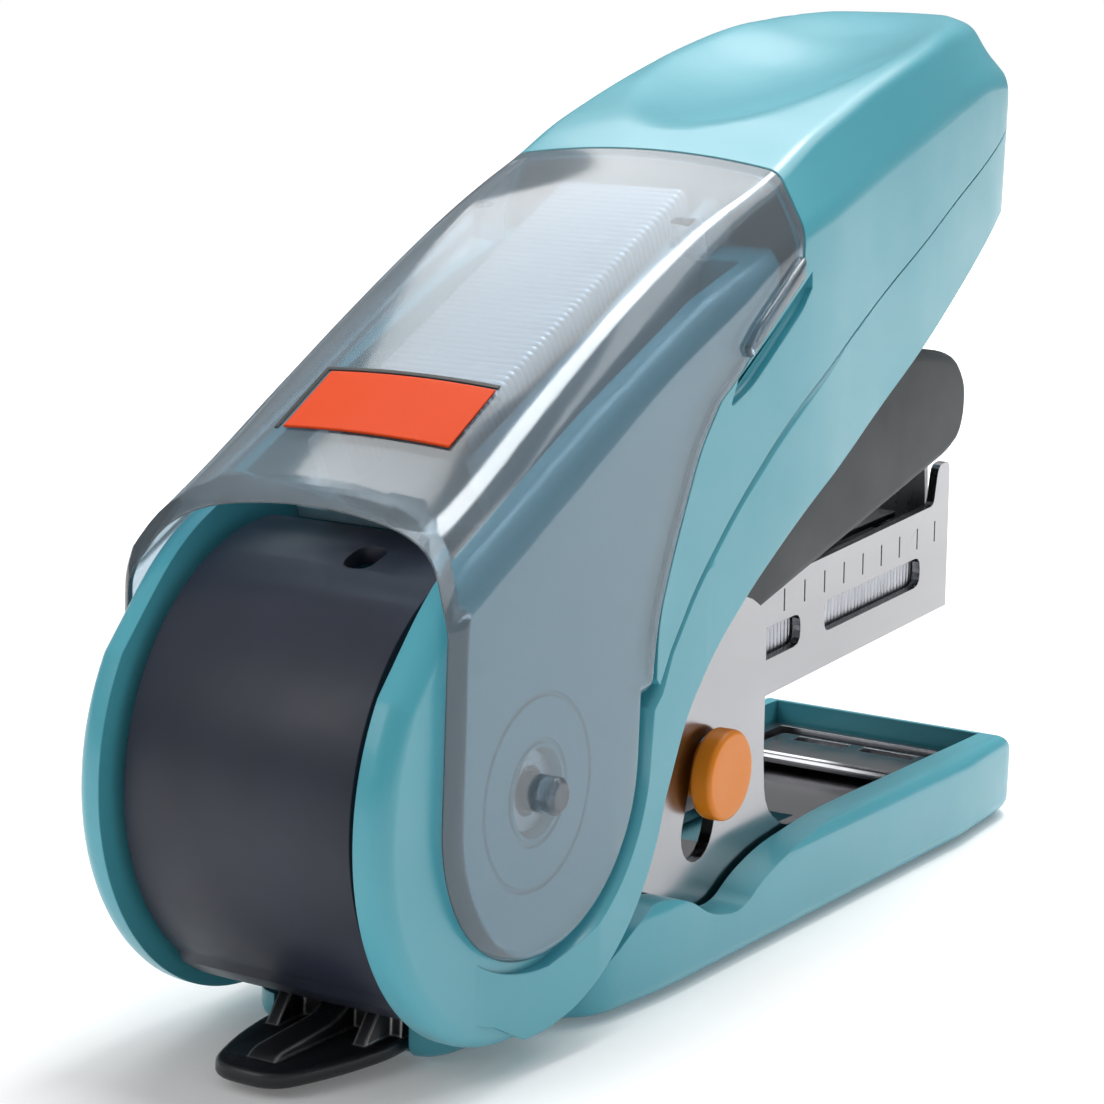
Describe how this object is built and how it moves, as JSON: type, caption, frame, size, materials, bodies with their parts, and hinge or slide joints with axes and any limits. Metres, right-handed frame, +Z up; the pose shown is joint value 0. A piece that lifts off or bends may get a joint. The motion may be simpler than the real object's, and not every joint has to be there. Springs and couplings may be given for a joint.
{
  "type": "hand stapler",
  "caption": "Compact light-touch desk stapler with a raised handle, a clear lid over a spare staple bay, a tilting magazine, a driver arm and a staple remover tongue.",
  "frame": {"origin": "on the desk plane, at the underside of the base pad, straight below the rear axle", "axes": "+X towards the mouth where paper goes in, +Y to the left seen from behind, +Z up"},
  "size_m": [0.0844, 0.0238, 0.0567],
  "materials": {
    "blue_plastic": "semi-gloss moulded plastic",
    "rubber": "matte soft pad",
    "nickel": "bright nickel-plated pressed steel",
    "steel": "plain hardened steel",
    "spring_steel": "drawn spring wire",
    "staples": "galvanised wire, glued in a strip",
    "black_plastic": "satin moulded plastic",
    "black_paint": "black paint with bare edges",
    "grey_plastic": "fine-textured moulded plastic",
    "frosted_plastic": "pale translucent plastic",
    "clear_plastic": "clear smoked plastic, polished",
    "orange_plastic": "glossy moulded plastic",
    "orange_label": "plain printed film"
  },
  "bodies": {
    "base": {"base_shell": "blue_plastic", "base_pad": "rubber", "base_frame": "nickel", "anvil": "steel", "hub_axle": "steel", "return_spring": "spring_steel", "rear_shield": "black_plastic", "staple_remover": "black_paint"},
    "handle": {"handle_frame": "blue_plastic", "handle_shell": "blue_plastic", "refill_strip": "staples", "refill_bay": "frosted_plastic"},
    "cover": {"lid": "clear_plastic", "lid_pin_left": "clear_plastic", "lid_pin_right": "clear_plastic", "lid_label": "orange_label"},
    "arm": {"driver_arm": "grey_plastic", "driver_blade": "steel"},
    "magazine": {"magazine_channel": "nickel", "staple_rail": "nickel", "staple_strip": "staples", "staple_cover_leaf": "nickel", "guide_rod": "steel", "pusher_spring": "spring_steel", "link_pin": "steel", "link_knob_left": "orange_plastic", "link_knob_right": "orange_plastic"},
    "pusher": {"staple_pusher": "black_plastic"}
  },
  "joints": [
    {"name": "handle_press", "type": "hinge", "parent": "base", "child": "handle", "pos_m": [0, 0, 0.0157], "axis": [0, 1, 0], "range_deg": [0, 16]},
    {"name": "arm_swing", "type": "hinge", "parent": "base", "child": "arm", "pos_m": [0, 0, 0.0157], "axis": [0, 1, 0], "range_deg": [0, 12.8]},
    {"name": "magazine_swing", "type": "hinge", "parent": "base", "child": "magazine", "pos_m": [0, 0, 0.0157], "axis": [0, 1, 0], "range_deg": [0, 7.6]},
    {"name": "lid_open", "type": "hinge", "parent": "handle", "child": "cover", "pos_m": [0, 0, 0.0157], "axis": [0, -1, 0], "range_deg": [0, 90]},
    {"name": "pusher_slide", "type": "slide", "parent": "magazine", "child": "pusher", "axis": [0.998, 0, 0.0628], "range_m": [-0.014, 0], "deforming": ["pusher_spring"]}
  ],
  "couplings": [
    {"joint": "arm_swing", "follows": "handle_press", "ratio": 0.8},
    {"joint": "magazine_swing", "follows": "handle_press", "ratio": 0.475}
  ]
}
